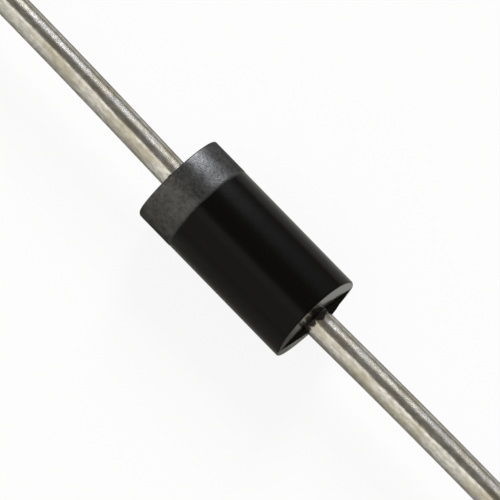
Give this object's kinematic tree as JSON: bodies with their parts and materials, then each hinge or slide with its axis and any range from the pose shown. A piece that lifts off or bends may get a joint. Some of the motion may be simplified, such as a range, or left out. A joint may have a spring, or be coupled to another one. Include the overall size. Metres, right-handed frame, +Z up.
{
  "type": "axial rectifier diode",
  "caption": "Axial rectifier diode: a black moulded cylindrical case with a grey cathode band and a straight tinned wire lead on its axis at each end.",
  "frame": {"origin": "middle of the moulded case, on the axis of the leads", "axes": "+X along the leads from the cathode to the anode, +Z up, the mould's parting plane is XY"},
  "size_m": [0.056, 0.0028, 0.0028],
  "materials": {
    "epoxy": "moulded black epoxy, semi-matt",
    "band_ink": "grey marking ink with a faint metallic sheen",
    "tinned_copper": "drawn copper wire, bright tin plated",
    "silicon": "sawn silicon",
    "solder": "high-lead solder, reflowed",
    "silicone": "white silicone, cured"
  },
  "bodies": {
    "root": {"molded_case": "epoxy", "cathode_band": "band_ink", "cathode_lead": "tinned_copper", "anode_lead": "tinned_copper", "silicon_die": "silicon", "cathode_solder": "solder", "anode_solder": "solder", "junction_coating": "silicone"}
  },
  "joints": []
}
